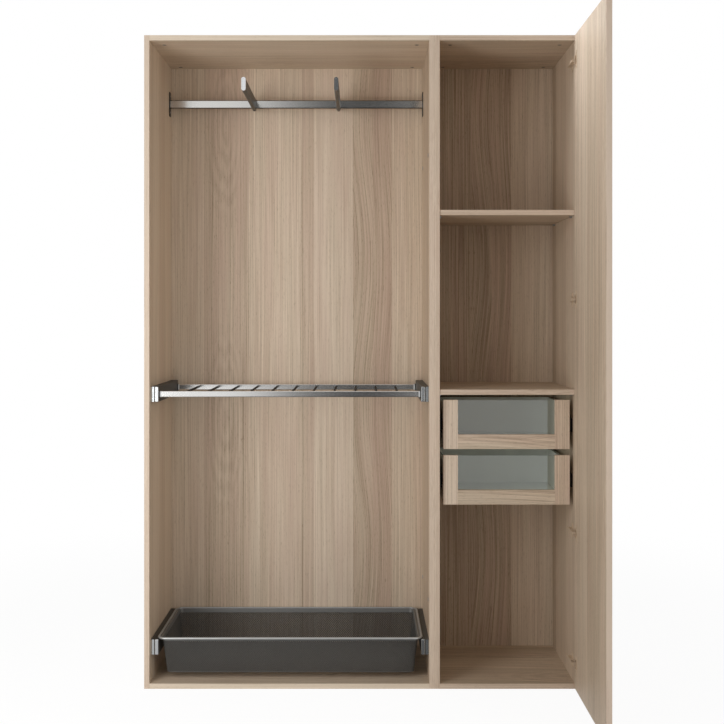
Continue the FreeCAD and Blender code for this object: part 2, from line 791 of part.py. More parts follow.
def make_door():
    cup_x = door_x[1] - cup_inset
    face = door_y[1]
    ear_x = cup_x - ear_offset
    ear_length = ear_screw_spacing + 2 * ear_end
    inner_radius = cup_radius - cup_bore_play - cup_wall
    leaf = block(door_x, door_y, (door_floor_gap, carcass_height - door_top_gap))
    leaf = rounded(leaf, edge_round, lambda at, way: True)
    pin_far = cup_inset - hinge_pin_inset + hinge_pin_radius
    pin_half = (sqrt(inner_radius**2 - pin_far**2) + sqrt(cup_radius**2 - pin_far**2)) / 2
    cups = []
    pins = []
    screws = []
    for z in hinge_heights:
        cup_floor_y = face - cup_depth
        mouth_y = face + flange_thickness
        pin_z_span = (z - pin_half, z + pin_half)
        body = pin_y(cup_x, (cup_floor_y, face), z, cup_radius - cup_bore_play)
        collar = pin_y(cup_x, (face, mouth_y), z, cup_radius + flange_border)
        ears = block(around(ear_x, ear_width), (face, mouth_y), around(z, ear_length))
        hollow = pin_y(cup_x, (cup_floor_y + cup_floor, mouth_y + overrun), z, inner_radius)
        pin_bore = pin_z(hinge_x, hinge_y, pin_z_span, hinge_pin_radius + bore_play)
        cutters = [hollow, pin_bore]
        leaf_cutters = [pin_y(cup_x, (cup_floor_y - bore_end, face + overrun), z, cup_radius)]
        for screw_z in around(z, ear_screw_spacing):
            tip_y = face - cup_screw_grip
            ear_y = (face - overrun, mouth_y + overrun)
            cutters.append(pin_y(ear_x, ear_y, screw_z, screw_radius + bore_play))
            bore_y = (tip_y - bore_end, face + overrun)
            leaf_cutters.append(pin_y(ear_x, bore_y, screw_z, screw_radius + bore_play))
            head = pin_y(ear_x, (mouth_y, mouth_y + screw_head), screw_z, screw_head_radius)
            screws.append(opened(joined(head, pin_y(ear_x, (tip_y, mouth_y), screw_z, screw_radius))))
        cups.append(opened(joined(body, collar, ears).cut(cutters)))
        pins.append(opened(pin_z(hinge_x, hinge_y, pin_z_span, hinge_pin_radius)))
        leaf = leaf.cut(leaf_cutters)
    save("door_panel", opened(leaf))
    save("hinge_cups", *cups)
    save("hinge_pins", *pins)
    save("hinge_cup_screws", *screws)


# Hinge arms and their plates, on the right side panel
def make_hinge_arms():
    wall_name, wall_x, side = bay_walls[3]
    row_y = front_y + plate_screw_row
    wing_length = plate_screw_spacing + 2 * wing_end
    arm_x = (wall_x - arm_wall_gap - arm_thickness, wall_x - arm_wall_gap)
    cover_y = (front_y + arm_cover_start, front_y + arm_cover_end)
    neck_y = (hinge_y - arm_drop - arm_thickness, hinge_y - arm_drop)
    arms = []
    plates = []
    screws = []
    for z in hinge_heights:
        cover = block(arm_x, cover_y, around(z, arm_cover_width))
        strip = block(arm_x, (neck_y[0], cover_y[0]), around(z, arm_width))
        neck = block((arm_x[0], hinge_x), neck_y, around(z, arm_eye_width))
        eye = pin_z(hinge_x, hinge_y, around(z, arm_eye_width), arm_eye_radius)
        pin_bore = pin_z(hinge_x, hinge_y, around(z, arm_width), hinge_pin_radius + hinge_pin_play)
        arms.append(joined(cover, strip, neck, eye).cut(pin_bore))
        wings = block((wall_x - wing_thickness, wall_x), around(row_y, wing_width), around(z, wing_length))
        boss = block((arm_x[1], wall_x), cover_y, around(z, boss_width))
        plate = joined(wings, boss)
        for screw_z in around(z, plate_screw_spacing):
            hole_x = (wall_x - wing_thickness - overrun, wall_x + overrun)
            plate = plate.cut(pin_x(hole_x, row_y, screw_z, screw_radius + bore_play))
            screws.append(wood_screw(wall_x, side, wing_thickness, row_y, screw_z, wall_name))
        plates.append(plate)
    save("hinge_arms", *arms)
    save("hinge_plates", *plates)
    save("hinge_plate_screws", *screws)


# Uprights, tops and bottoms, with every bore and groove that was asked for
def make_panels():
    uprights = (
        ("left_side_panel", left_x),
        ("left_divider_panel", seam_x - panel),
        ("right_divider_panel", seam_x),
        ("right_side_panel", right_x - panel),
    )
    for node, x in uprights:
        body = block((x, x + panel), (front_y, rear_y), (0, carcass_height))
        body = rounded(body, edge_round, lambda at, way: at.y < front_y + edge_round and abs(way.z) > 0)
        save(node, drilled(node, body))
    for bay, span in (("left", left_bay), ("right", right_bay)):
        for level, z in (("bottom", (0, panel)), ("top", (under_top, carcass_height))):
            node = bay + "_" + level + "_panel"
            save(node, drilled(node, block(span, (front_y, rear_y), z)))


os.makedirs("parts", exist_ok=True)
make_corner_fittings()
make_frame_connectors()
make_backs()
make_shelves()
make_rail()
make_pegs()
make_all_slides()
make_trouser_rack()
make_basket()
for drawer_name, drawer_base in drawer_bases():
    make_drawer(drawer_name, drawer_base)
make_door()
make_hinge_arms()
make_panels()
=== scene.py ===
import bpy
import bmesh
import math
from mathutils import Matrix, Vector


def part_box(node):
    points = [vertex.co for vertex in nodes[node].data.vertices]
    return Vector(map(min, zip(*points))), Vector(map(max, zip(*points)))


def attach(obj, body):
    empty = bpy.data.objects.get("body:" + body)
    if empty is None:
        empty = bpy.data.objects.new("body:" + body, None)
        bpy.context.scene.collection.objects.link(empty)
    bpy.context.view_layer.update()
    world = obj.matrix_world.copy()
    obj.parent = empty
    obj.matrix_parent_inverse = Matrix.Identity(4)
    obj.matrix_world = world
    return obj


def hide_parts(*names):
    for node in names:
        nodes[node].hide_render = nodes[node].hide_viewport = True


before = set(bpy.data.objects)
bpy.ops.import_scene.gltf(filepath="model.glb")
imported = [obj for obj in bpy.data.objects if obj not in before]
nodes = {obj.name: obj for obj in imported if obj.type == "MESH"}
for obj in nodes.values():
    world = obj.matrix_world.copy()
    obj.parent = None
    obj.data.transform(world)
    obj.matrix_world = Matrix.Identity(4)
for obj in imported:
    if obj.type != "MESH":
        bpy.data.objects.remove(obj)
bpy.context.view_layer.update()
mm = 0.001
bayMiddle = -250  # middle of the left bay, across the front
railHeight = 2088  # middle of the hanging rail
print("frame loaded with", len(nodes), "CAD nodes")


# an sRGB hex colour as linear values
def linear(hexCode):
    values = [int(hexCode[place:place + 2], 16) / 255 for place in (1, 3, 5)]
    return tuple(v / 12.92 if v <= 0.04045 else ((v + 0.055) / 1.055) ** 2.4 for v in values) + (1.0,)


# sets inputs: each is a value, a socket to link, a node, whose first output is linked, or a list of these
def setInputs(tree, target, inputs):
    for key, value in inputs.items():
        for source in value if isinstance(value, list) else [value]:
            if isinstance(source, bpy.types.Node):
                source = source.outputs[0]
            if isinstance(source, bpy.types.NodeSocket):
                tree.links.new(source, target.inputs[key])
            else:
                target.inputs[key].default_value = source


# adds one node with its inputs; settings are its properties
def add(tree, kind, inputs=None, **settings):
    made = tree.nodes.new(kind)
    for key, value in settings.items():
        setattr(made, key, value)
    setInputs(tree, made, inputs or {})
    return made


def newMaterial(name, inputs):
    material = bpy.data.materials.new(name)
    material.use_nodes = True
    shader = material.node_tree.nodes["Principled BSDF"]
    setInputs(material.node_tree, shader, inputs)
    return material, material.node_tree, shader


# fills a colour ramp: each stop is a place from 0 to 1 and a colour
def setStops(ramp, stops, interpolation="LINEAR"):
    ramp.color_ramp.interpolation = interpolation
    elements = ramp.color_ramp.elements
    elements.remove(elements[1])
    for number, (place, colour) in enumerate(stops):
        stop = elements.new(place) if number else elements[0]
        stop.position, stop.color = place, colour


# White-stained oak foil: a printed oak with planks, long streaks, lens-shaped figure and fine open grain,
# on a lightly embossed satin film, so it is pale, dry-looking and only softly glossy.
oakFoil = {
    "plankWidth": 118, "plankShift": 2.7,  # the depth shifts the planks from panel to panel
    # each layer's width and length, its detail, and a shift that sets it apart from the others
    "layers": {
        "streak": (30, 1400, 3, (0, 0, 0)),
        "tint": (46, 700, 2, (7.7, 0, 2.1)),
        "grain": (9, 900, 3, (0, 5.3, 0)),
        "fine": (3.0, 480, 2, (2.2, 0, 4.1)),
        "pore": (1.5, 20, 2, (1.9, 0, 0)),  # pores are finer than this, drawn coarse enough to show
    },
    "layerRoughness": 0.6, "poreRange": (0.6, 0.72),
    "printLength": 1125, "waveHeight": 20, "waveStart": 4.2,
    "lensWidth": 80, "lensLength": 350, "lensRings": 4.5, "lensWobble": 0.5, "lensFade": (1.15, 0.8),
    # how far each pattern moves the tone, and its value that leaves the tone alone
    "toneShares": {
        "streak": (0.25, 0.5), "lens": (0.06, 0), "grain": (0.37, 0.5), "fine": (1.1, 0.5),
        "pore": (-0.32, 0.15),
    },
    # how far a plank's own tone and warmth count, in the listed planks and in the others
    "listedShares": (0.8, 0.35), "otherShares": (0.18, 0.14), "plankMiddle": 0.5,
    "tones": ((0.05, "#8f7962"), (0.5, "#cdb8a0"), (0.95, "#ecdac4")),
    "rosy": "#cbab9a", "ashen": "#c4baa3",
    # the warmth where each tint begins and is full, and its largest share
    "tints": {"rosy": (0.6, 0.95, 0.4), "ashen": (0.6, 0.35, 0.2)},
    "specular": 0.4, "roughness": (0.42, 0.6), "emboss": 0.15, "embossStrength": 0.35, "poreDepth": 0.6,
}
# planks on the two back sheets: where each starts across the front, its tone, warmth, wave and lens; the
# tones follow the print, and in the right bay, from 250 on, they are set darker as painted shade, most of all
# next to the divider
backPlanks = (
    (-740, 0.73, 0.4, 0.0, 0.0), (-610, 0.45, 0.7, 0.0, 1.0), (-437, 0.6, 0.35, 0.1, 0.0),
    (-330, 0.66, 0.5, 0.0, 0.0), (-233, 0.34, 0.6, 0.0, 0.0), (-229, 0.54, 0.7, 0.0, 0.0),
    (-187, 0.82, 0.45, 0.0, 0.0), (-38, 0.44, 0.5, 1.0, 0.0), (40, 0.36, 0.9, 0.6, 0.0),
    (115, 0.65, 0.3, 0.1, 0.0), (250, 0.21, 0.4, 0.0, 0.0), (417, 0.22, 0.5, 1.0, 0.0),
    (495, 0.3, 0.8, 0.6, 0.0), (570, 0.61, 0.35, 0.1, 0.0),
)
# planks on the drawer stiles, with the same columns; the plank from 260 on, over the left stiles, is set
# paler than the right stiles' plank as painted light
stilePlanks = ((-740, 0.5, 0.5, 0.0, 0.0), (260, 0.85, 0.5, 0.0, 0.0), (500, 0.62, 0.6, 0.0, 0.0))
backLens = {"centre": -525, "height": 885}


# planks lie side by side on the axis across, run on the axis along, and through goes into the panel
def oakMaterial(name, across, through, along, planks=None, contrast=1.0, level=0.5, band=0.36, rose=0.22):
    foil = oakFoil
    material, tree, shader = newMaterial(name, {"Specular IOR Level": foil["specular"]})
    coords = add(tree, "ShaderNodeTexCoord")
    parts = add(tree, "ShaderNodeSeparateXYZ", {0: coords.outputs["Object"]})
    acrossPlace, throughPlace, alongPlace = [parts.outputs[axis] for axis in (across, through, along)]

    # each plank has its own tone, warmth, wave and lens, in red, green, blue and alpha
    if planks:
        first, last = planks[0][0], -planks[0][0]
        spot = acrossPlace
        share = add(tree, "ShaderNodeMapRange", {
            "Value": spot, "From Min": first * mm, "From Max": last * mm})
        plank = add(tree, "ShaderNodeValToRGB", {0: share})
        setStops(plank, [((begin - first) / (last - first), values) for begin, *values in planks], "CONSTANT")
        plankTone = add(tree, "ShaderNodeSeparateColor", {0: plank})
        wave, lens = plankTone.outputs[2], plank.outputs[1]
        centre, phase = backLens["centre"] * mm, -backLens["height"] * mm
        plankShare, warmthShare = foil["listedShares"]
    else:
        spot = add(tree, "ShaderNodeMath", {
            0: throughPlace, 1: foil["plankShift"], 2: acrossPlace}, operation="MULTIPLY_ADD")
        plank = add(tree, "ShaderNodeTexVoronoi", {
            "W": spot, "Scale": 1 / (foil["plankWidth"] * mm)}, voronoi_dimensions="1D")
        plankTone = add(tree, "ShaderNodeSeparateColor", {0: plank.outputs["Color"]})
        wave = lens = plankTone.outputs[2]
        centre, phase = plank.outputs["W"], plankTone.outputs[1]
        plankShare, warmthShare = foil["otherShares"]

    # the grain of wavy planks swings slowly from side to side
    turns = add(tree, "ShaderNodeMath", {
        0: alongPlace, 1: math.tau / (foil["printLength"] * mm), 2: foil["waveStart"]},
        operation="MULTIPLY_ADD")
    swing = add(tree, "ShaderNodeMath", {0: turns}, operation="COSINE")
    height = add(tree, "ShaderNodeMath", {0: wave, 1: -foil["waveHeight"] * mm}, operation="MULTIPLY")
    bent = add(tree, "ShaderNodeMath", {0: swing, 1: height, 2: acrossPlace}, operation="MULTIPLY_ADD")
    grainPlace = add(tree, "ShaderNodeCombineXYZ", {0: bent, 1: throughPlace, 2: alongPlace})

    patterns = {}
    for kind, (width, length, detail, shift) in foil["layers"].items():
        scale = (1 / (width * mm), 1 / (width * mm), 1 / (length * mm))
        scaled = add(tree, "ShaderNodeMapping", {"Vector": grainPlace, "Location": shift, "Scale": scale})
        patterns[kind] = add(tree, "ShaderNodeTexNoise", {
            "Vector": scaled, "Scale": 1.0, "Detail": detail, "Roughness": foil["layerRoughness"]})
    low, high = foil["poreRange"]
    patterns["pore"] = add(tree, "ShaderNodeMapRange", {
        "Value": patterns["pore"], "From Min": low, "From Max": high})

    # nested lens shapes down the middle of some planks: the figure where the saw met the rings flat
    aside = add(tree, "ShaderNodeMath", {0: spot, 1: centre}, operation="SUBTRACT")
    lensX = add(tree, "ShaderNodeMath", {0: aside, 1: foil["lensWidth"] * mm}, operation="DIVIDE")
    shifted = add(tree, "ShaderNodeMath", {0: alongPlace, 1: phase}, operation="ADD")
    half = foil["printLength"] / 2 * mm
    repeated = add(tree, "ShaderNodeMath", {0: shifted, 1: half, 2: -half}, operation="WRAP")
    lensZ = add(tree, "ShaderNodeMath", {0: repeated, 1: foil["lensLength"] * mm}, operation="DIVIDE")
    lensPlace = add(tree, "ShaderNodeCombineXYZ", {0: lensX, 1: lensZ})
    reach = add(tree, "ShaderNodeVectorMath", {0: lensPlace}, operation="LENGTH").outputs["Value"]
    uneven = add(tree, "ShaderNodeMath", {
        0: patterns["streak"], 1: foil["lensWobble"], 2: reach}, operation="MULTIPLY_ADD")
    rings = add(tree, "ShaderNodeMath", {0: uneven, 1: foil["lensRings"] * math.tau}, operation="MULTIPLY")
    ripple = add(tree, "ShaderNodeMath", {0: rings}, operation="SINE")
    outer, inner = foil["lensFade"]
    inside = add(tree, "ShaderNodeMapRange", {"Value": reach, "From Min": outer, "From Max": inner})
    lensShare = add(tree, "ShaderNodeMath", {0: inside, 1: lens}, operation="MULTIPLY")
    patterns["lens"] = add(tree, "ShaderNodeMath", {0: ripple, 1: lensShare}, operation="MULTIPLY")

    # cut edges, the faces turned across the planks, are set paler than the faces: partly the edge banding's
    # own tone, partly painted light on front edges that face the lamps
    facing = add(tree, "ShaderNodeSeparateXYZ", {0: coords.outputs["Normal"]})
    edge = add(tree, "ShaderNodeMath", {0: facing.outputs[across]}, operation="ABSOLUTE")
    layers = [(plankTone, plankShare, foil["plankMiddle"])]
    for kind, (share, middle) in foil["toneShares"].items():
        layers.append((patterns[kind], share * contrast, middle))
    layers.append((edge, band, 0))
    tone = level - sum(share * middle for source, share, middle in layers)
    for source, share, middle in layers:
        tone = add(tree, "ShaderNodeMath", {0: source, 1: share, 2: tone}, operation="MULTIPLY_ADD")
    ramp = add(tree, "ShaderNodeValToRGB", {0: tone})
    setStops(ramp, [(place, linear(hexCode)) for place, hexCode in foil["tones"]])

    # streaks lean to rose or to grey-green, more so in the warm planks, and cut edges to rose
    warm = add(tree, "ShaderNodeMath", {
        0: plankTone.outputs[1], 1: warmthShare, 2: patterns["tint"]}, operation="MULTIPLY_ADD")
    colour = ramp.outputs[0]
    for tint, (begin, full, most) in foil["tints"].items():
        share = add(tree, "ShaderNodeMapRange", {
            "Value": warm, "From Min": begin, "From Max": full, "To Max": most})
        colour = add(tree, "ShaderNodeMix", {0: share, 6: colour, 7: linear(foil[tint])},
                     data_type="RGBA").outputs[2]
    blush = add(tree, "ShaderNodeMath", {0: edge, 1: rose}, operation="MULTIPLY")
    colour = add(tree, "ShaderNodeMix", {0: blush, 6: colour, 7: linear(foil["rosy"])},
                 data_type="RGBA").outputs[2]
    glossy, dull = foil["roughness"]
    roughness = add(tree, "ShaderNodeMapRange", {
        "Value": patterns["grain"], "To Min": glossy, "To Max": dull})
    relief = add(tree, "ShaderNodeMath", {
        0: patterns["pore"], 1: -foil["poreDepth"], 2: patterns["fine"]}, operation="MULTIPLY_ADD")
    bump = add(tree, "ShaderNodeBump", {
        "Height": relief, "Strength": foil["embossStrength"], "Distance": foil["emboss"] * mm})
    setInputs(tree, shader, {"Base Color": colour, "Roughness": roughness, "Normal": bump})
    return material


# Brushed aluminium, plated zinc and silvered plastic: fine parallel scratches along the piece stretch the
# highlights across it.
brushing = {
    "scratchWidth": 0.7, "scratchLength": 90,  # scratches are finer than this, drawn coarse enough to show
    "detail": 3, "polishShares": (0.6, 1.4), "depth": 0.03, "strength": 0.2,
}


def brushedMetal(name, hexCode, lengthAxis, roughness):
    material, tree, shader = newMaterial(name, {"Metallic": 1.0, "Base Color": linear(hexCode)})
    coords = add(tree, "ShaderNodeTexCoord")
    scale = tuple(1 / (brushing["scratchLength" if axis == lengthAxis else "scratchWidth"] * mm)
                  for axis in "XYZ")
    scaled = add(tree, "ShaderNodeMapping", {"Vector": coords.outputs["Object"], "Scale": scale})
    scratch = add(tree, "ShaderNodeTexNoise", {"Vector": scaled, "Scale": 1.0, "Detail": brushing["detail"]})
    least, most = brushing["polishShares"]
    polish = add(tree, "ShaderNodeMapRange", {
        "Value": scratch, "To Min": roughness * least, "To Max": roughness * most})
    bump = add(tree, "ShaderNodeBump", {
        "Height": scratch, "Strength": brushing["strength"], "Distance": brushing["depth"] * mm})
    setInputs(tree, shader, {"Roughness": polish, "Normal": bump})
    return material


# Lacquer, chrome, cast metal, foil, beech and moulded plastic: a slightly uneven surface with a fine orange
# peel that softens its sheen.
film = {
    "cloudSize": 60, "cloudDetail": 4, "peelDetail": 2, "peelDepth": 0.05, "peelStrength": 0.25,
    "roughnessSpread": (-0.06, 0.08),
}


def filmMaterial(name, hexCode, otherHex, roughness, peel, metallic=0.0, specular=0.5):
    material, tree, shader = newMaterial(name, {"Metallic": metallic, "Specular IOR Level": specular})
    coords = add(tree, "ShaderNodeTexCoord").outputs["Object"]
    cloud = add(tree, "ShaderNodeTexNoise", {
        "Vector": coords, "Scale": 1 / (film["cloudSize"] * mm), "Detail": film["cloudDetail"]})
    fine = add(tree, "ShaderNodeTexNoise", {
        "Vector": coords, "Scale": 1 / (peel * mm), "Detail": film["peelDetail"]})
    colour = add(tree, "ShaderNodeMix", {0: cloud, 6: linear(hexCode), 7: linear(otherHex)},
                 data_type="RGBA").outputs[2]
    glossier, duller = film["roughnessSpread"]
    shine = add(tree, "ShaderNodeMapRange", {
        "Value": fine, "To Min": roughness + glossier, "To Max": roughness + duller})
    bump = add(tree, "ShaderNodeBump", {
        "Height": fine, "Strength": film["peelStrength"], "Distance": film["peelDepth"] * mm})
    setInputs(tree, shader, {"Base Color": colour, "Roughness": shine, "Normal": bump})
    return material


# Clear float glass with a faint green body and a trace of dust in its gloss; light from lamps passes it.
floatGlass = {"body": "#fafdfa", "ior": 1.62, "dustSize": 35, "dustDetail": 5, "dustRoughness": 0.03}


def glassMaterial(name):
    body = linear(floatGlass["body"])
    material, tree, shader = newMaterial(
        name, {"Base Color": body, "Transmission Weight": 1.0, "IOR": floatGlass["ior"]})
    coords = add(tree, "ShaderNodeTexCoord")
    dust = add(tree, "ShaderNodeTexNoise", {
        "Vector": coords.outputs["Object"], "Scale": 1 / (floatGlass["dustSize"] * mm),
        "Detail": floatGlass["dustDetail"]})
    shine = add(tree, "ShaderNodeMapRange", {
        "Value": dust, "To Min": 0.0, "To Max": floatGlass["dustRoughness"]})
    setInputs(tree, shader, {"Roughness": shine})
    path = add(tree, "ShaderNodeLightPath")
    lamp = add(tree, "ShaderNodeMath", {
        0: path.outputs["Is Shadow Ray"], 1: path.outputs["Is Diffuse Ray"]}, operation="MAXIMUM")
    clear = add(tree, "ShaderNodeBsdfTransparent", {"Color": body})
    mixed = add(tree, "ShaderNodeMixShader", {0: lamp, 1: shader, 2: clear})
    setInputs(tree, tree.nodes["Material Output"], {0: mixed})
    return material


# Powder-lacquered slide steel, dark grey, with a bright zinc end left bare at the front of the fixed half.
slideFinish = {
    "lacquer": ("#504e4a", "#464440"), "roughness": 0.5, "peel": 1.6, "specular": 0.2,
    "zinc": "#ced1d2", "zincRoughness": 0.14, "zincFront": -204.5, "zincReach": 470.2,
}


def slideMaterial(name):
    finish = slideFinish
    material = filmMaterial(name, *finish["lacquer"], finish["roughness"], finish["peel"],
                            specular=finish["specular"])
    tree = material.node_tree
    shader = tree.nodes["Principled BSDF"]
    lacquer, satin = [shader.inputs[key].links[0].from_socket for key in ("Base Color", "Roughness")]
    coords = add(tree, "ShaderNodeTexCoord")
    parts = add(tree, "ShaderNodeSeparateXYZ", {0: coords.outputs["Object"]})
    front = add(tree, "ShaderNodeMath", {0: parts.outputs["Y"], 1: finish["zincFront"] * mm},
                operation="LESS_THAN")
    offCentre = add(tree, "ShaderNodeMath", {0: parts.outputs["X"], 1: bayMiddle * mm}, operation="SUBTRACT")
    reach = add(tree, "ShaderNodeMath", {0: offCentre}, operation="ABSOLUTE")
    outer = add(tree, "ShaderNodeMath", {0: reach, 1: finish["zincReach"] * mm}, operation="GREATER_THAN")
    bare = add(tree, "ShaderNodeMath", {0: front, 1: outer}, operation="MULTIPLY")
    colour = add(tree, "ShaderNodeMix", {0: bare, 6: lacquer, 7: linear(finish["zinc"])},
                 data_type="RGBA").outputs[2]
    shine = add(tree, "ShaderNodeMix", {0: bare, 2: satin, 3: finish["zincRoughness"]})
    setInputs(tree, shader, {"Base Color": colour, "Metallic": bare, "Roughness": shine})
    return material


# a second colour of the same finish where one object coordinate, in mm, lies far enough from the middle
def secondColour(material, axis, middle, begin, full, hexCode):
    tree = material.node_tree
    shader = tree.nodes["Principled BSDF"]
    target = shader.inputs["Base Color"]
    coords = add(tree, "ShaderNodeTexCoord")
    parts = add(tree, "ShaderNodeSeparateXYZ", {0: coords.outputs["Object"]})
    offset = add(tree, "ShaderNodeMath", {0: parts.outputs[axis], 1: middle * mm}, operation="SUBTRACT")
    reach = add(tree, "ShaderNodeMath", {0: offset}, operation="ABSOLUTE")
    share = add(tree, "ShaderNodeMapRange", {"Value": reach, "From Min": begin * mm, "From Max": full * mm})
    first = target.links[0].from_socket if target.links else tuple(target.default_value)
    mixed = add(tree, "ShaderNodeMix", {0: share, 6: first, 7: linear(hexCode)}, data_type="RGBA")
    setInputs(tree, shader, {"Base Color": mixed.outputs[2]})


# the same oak on each group of panels, with its contrast, level, edge band and rose set for each; the levels
# are painted light and shade: raised on the left side panel and left top and bottom, lowered on the dividers,
# right side, shelves and right top and bottom, where the right bay lies in shade
oakOuterLit = oakMaterial("stainedOakOuterLit", "Y", "X", "Z", contrast=0.72, level=0.6, band=0.27)
oakDoor = oakMaterial("stainedOakDoor", "Y", "X", "Z", contrast=1.1, level=0.48, band=0.5, rose=0.3)
oakInnerShaded = oakMaterial("stainedOakInnerShaded", "Y", "X", "Z", contrast=0.65, level=0.42)
oakBack = oakMaterial("stainedOakBack", "X", "Y", "Z", backPlanks)
oakStile = oakMaterial("stainedOakStile", "X", "Y", "Z", stilePlanks, contrast=1.8)
oakWideLit = oakMaterial("stainedOakWideLit", "Y", "Z", "X", level=0.58, rose=0.0)
oakShortShaded = oakMaterial("stainedOakShortShaded", "Y", "Z", "X", level=0.43, band=0.26)
oakRail = oakMaterial("stainedOakRail", "Z", "Y", "X", contrast=1.5)

# aluminium, plated steel and silvered plastic: bright and streaked, or dark where it is anodised dark
brushedBar = brushedMetal("brushedAluminiumAcross", "#dbdad8", "X", 0.14)
brushedRail = brushedMetal("brushedAluminiumRail", "#cecdca", "X", 0.14)
brushedDeep = brushedMetal("darkAnodisedAluminium", "#312f2b", "Y", 0.34)
brushedPlate = brushedMetal("darkAnodisedPlate", "#4a4844", "Z", 0.36)
zinc = brushedMetal("zincPlatedSteel", "#aeb0b2", "Z", 0.36)
endZinc = brushedMetal("brightZincEnd", "#d8dadb", "Z", 0.14)
silveredAbs = brushedMetal("silveredAbs", "#e6e8e9", "Z", 0.1)
railEdgeShade = {"begin": 12.4, "full": 13.4, "hexCode": "#2f2b27"}  # dark bands painted along the rail's two edges: painted shade at its top and bottom
secondColour(brushedRail, "Z", railHeight, **railEdgeShade)

# lacquered, chromed and cast metal: dark and soft in its sheen, or pale on the hinges and the basket's bead,
# whose bright front and grey sides are a painted highlight and painted shade
slideSteel = slideMaterial("darkLacqueredSlide")
darkRunner = filmMaterial("blackLacqueredRunner", "#12110f", "#0d0c0b", 0.6, 1.6, specular=0.2)
blackSteel = filmMaterial("mattBlackSteel", "#161514", "#11100f", 0.6, 1.6, specular=0.2)
meshSteel = filmMaterial("darkLacqueredMesh", "#666562", "#5c5b58", 0.42, 1.6, 0.3)
rimSteel = filmMaterial("greyLacqueredRim", "#747472", "#6c6c6a", 0.4, 1.6, 0.15)
beadSteel = filmMaterial("paleChromedBead", "#bfc1c0", "#b5b7b6", 0.3, 1.6, 0.45)
castZinc = filmMaterial("dullCastZincCam", "#5d5955", "#524e4a", 0.5, 1.2, 0.4)
champagne = filmMaterial("champagneLacqueredHinge", "#d3bda3", "#c9b399", 0.46, 1.6, 0.1)
# painted highlight along the bead's front, painted shade round its sides and back
beadPaintedShade = {"middle": -210, "begin": 30, "full": 90, "hexCode": "#a3a5a6"}
secondColour(beadSteel, "Y", **beadPaintedShade)

# foil, plastic, wood and glass: pale satin drawer boxes and caps, black clips, dull dowels, clear fronts
greyFoil = filmMaterial("paleGreyFoil", "#f3f5ef", "#ebede7", 0.5, 2.4)
paleAbs = filmMaterial("paleSatinAbs", "#e2e3e2", "#d8d9d8", 0.42, 1.8)
darkAbs = filmMaterial("blackSatinAbs", "#2b2a29", "#242322", 0.45, 1.8)
beech = filmMaterial("beechDowel", "#c9a982", "#b8966e", 0.6, 2.0)
clearGlass = glassMaterial("clearFloatGlass")
print("materials made")

# which finish each node wears; every node not named here is zinc-plated steel
finishOf = {
    oakOuterLit: ("left_side_panel",),
    oakInnerShaded: ("left_divider_panel", "right_divider_panel", "right_side_panel"),
    oakDoor: ("door_panel",),
    oakBack: ("left_back_panel", "right_back_panel"),
    oakStile: ("upper_drawer_stiles", "lower_drawer_stiles"),
    oakWideLit: ("left_top_panel", "left_bottom_panel"),
    oakShortShaded: ("right_top_panel", "right_bottom_panel", "upper_shelf", "lower_shelf"),
    oakRail: ("upper_drawer_bottom_rail", "lower_drawer_bottom_rail"),
    brushedRail: ("hanging_rail",),
    brushedBar: ("trouser_front_bar", "trouser_rear_bar"),
    brushedDeep: ("left_hanging_peg", "right_hanging_peg"),
    brushedPlate: ("rail_end_plates",),
    champagne: ("hinge_plates", "hinge_arms", "hinge_cups", "hinge_pins",
                "hinge_cup_screws", "hinge_plate_screws"),
    castZinc: ("cam_locks",),
    slideSteel: ("pull_out_runners", "trouser_slides", "basket_slides"),
    darkRunner: ("drawer_runners", "upper_drawer_slides", "lower_drawer_slides"),
    blackSteel: ("trouser_bars",),
    meshSteel: ("basket_tub",),
    rimSteel: ("basket_rim",),
    greyFoil: ("upper_drawer_sides", "upper_drawer_back", "upper_drawer_bottom",
               "lower_drawer_sides", "lower_drawer_back", "lower_drawer_bottom"),
    paleAbs: ("back_panel_clips", "trouser_end_caps"),
    silveredAbs: ("left_peg_fittings", "right_peg_fittings"),
    darkAbs: ("trouser_brackets", "basket_clips"),
    beech: ("panel_dowels",),
    clearGlass: ("upper_drawer_glass", "lower_drawer_glass"),
}
wearing = {name: material for material, names in finishOf.items() for name in names}
for name, piece in nodes.items():
    piece.data.materials.clear()
    piece.data.materials.append(wearing.get(name, zinc))
print("finishes on", len(wearing), "named nodes, zinc on the other", len(nodes) - len(wearing))

# the kind of tree input that each kind of value needs
socketKinds = {
    bpy.types.Mesh: "Geometry", bpy.types.Material: "Material", tuple: "Vector", int: "Int", float: "Float",
}


# named inputs from a piece's sizes: lengths and the centre in metres, plain ones as they are
def inputsFrom(sizes, lengths, plain):
    values = {key: sizes[key] * mm for key in lengths}
    values.update({key: sizes[key] for key in plain})
    values["centre"] = tuple(part * mm for part in sizes["centre"])
    return values


# a Geometry Nodes tree with one named input for each value; a mesh to start from has to come first
def newTree(name, values):
    tree = bpy.data.node_groups.new(name, "GeometryNodeTree")
    tree.interface.new_socket("Geometry", in_out="OUTPUT", socket_type="NodeSocketGeometry")
    for title, value in values.items():
        kind = next(kind for sort, kind in socketKinds.items() if isinstance(value, sort))
        tree.interface.new_socket(title, in_out="INPUT", socket_type="NodeSocket" + kind)
    return tree, add(tree, "NodeGroupInput").outputs


# ends a tree: what was made is moved to its centre, if it has one, made real and given its finish
def endTree(tree, given, made):
    if "centre" in given:
        made = add(tree, "GeometryNodeTransform", {"Geometry": made, "Translation": given["centre"]})
    real = add(tree, "GeometryNodeRealizeInstances", {0: made})
    dressed = add(tree, "GeometryNodeSetMaterial", {"Geometry": real, "Material": given["finish"]})
    add(tree, "NodeGroupOutput", {0: dressed})


